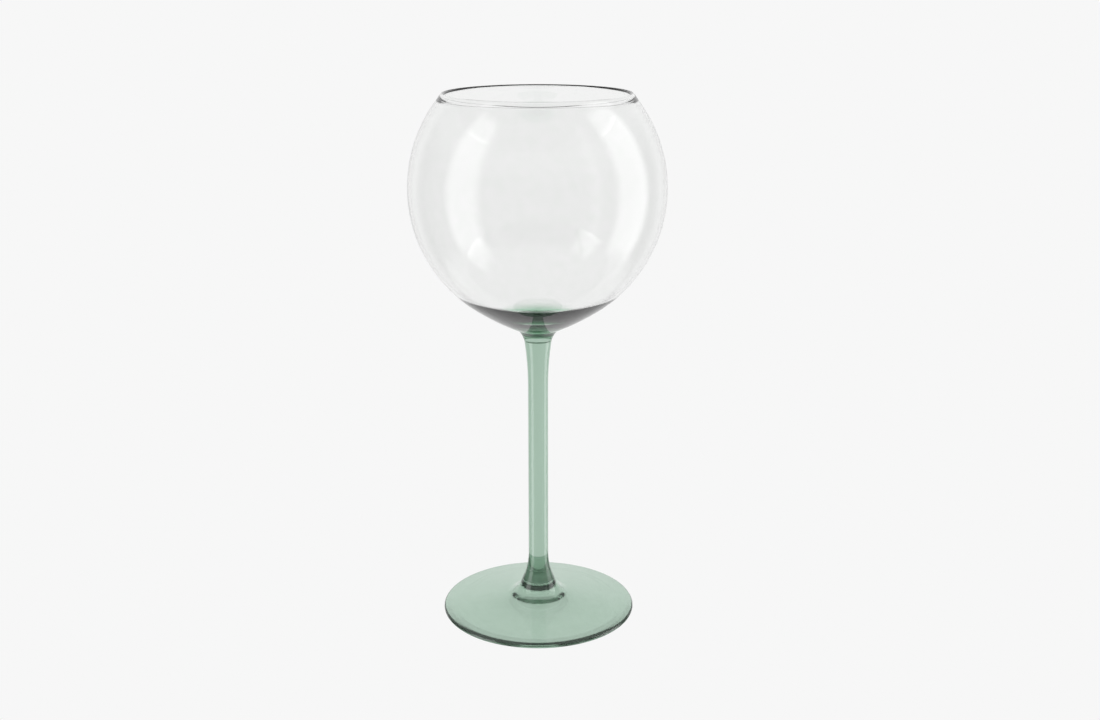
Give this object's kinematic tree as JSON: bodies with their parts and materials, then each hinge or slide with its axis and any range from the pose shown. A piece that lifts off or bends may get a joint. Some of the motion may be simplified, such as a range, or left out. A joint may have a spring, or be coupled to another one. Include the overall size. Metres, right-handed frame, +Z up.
{
  "type": "wine glass",
  "caption": "Stemmed wine glass: a clear balloon bowl that narrows to a fire-polished rim, fused to a pale green collar, stem and round foot.",
  "frame": {"origin": "middle of the circle that the foot rests on, at the level of the table", "axes": "+Z up the glass's axis of symmetry, from the foot to the rim; X and Y are level, and any way round is the same"},
  "size_m": [0.099, 0.099, 0.21],
  "materials": {
    "clear_glass": "blown and fire polished, colourless",
    "green_glass": "hot worked and fire polished, pale green through its body"
  },
  "bodies": {
    "root": {"bowl": "clear_glass", "collar": "green_glass", "stem": "green_glass", "foot": "green_glass"}
  },
  "joints": []
}
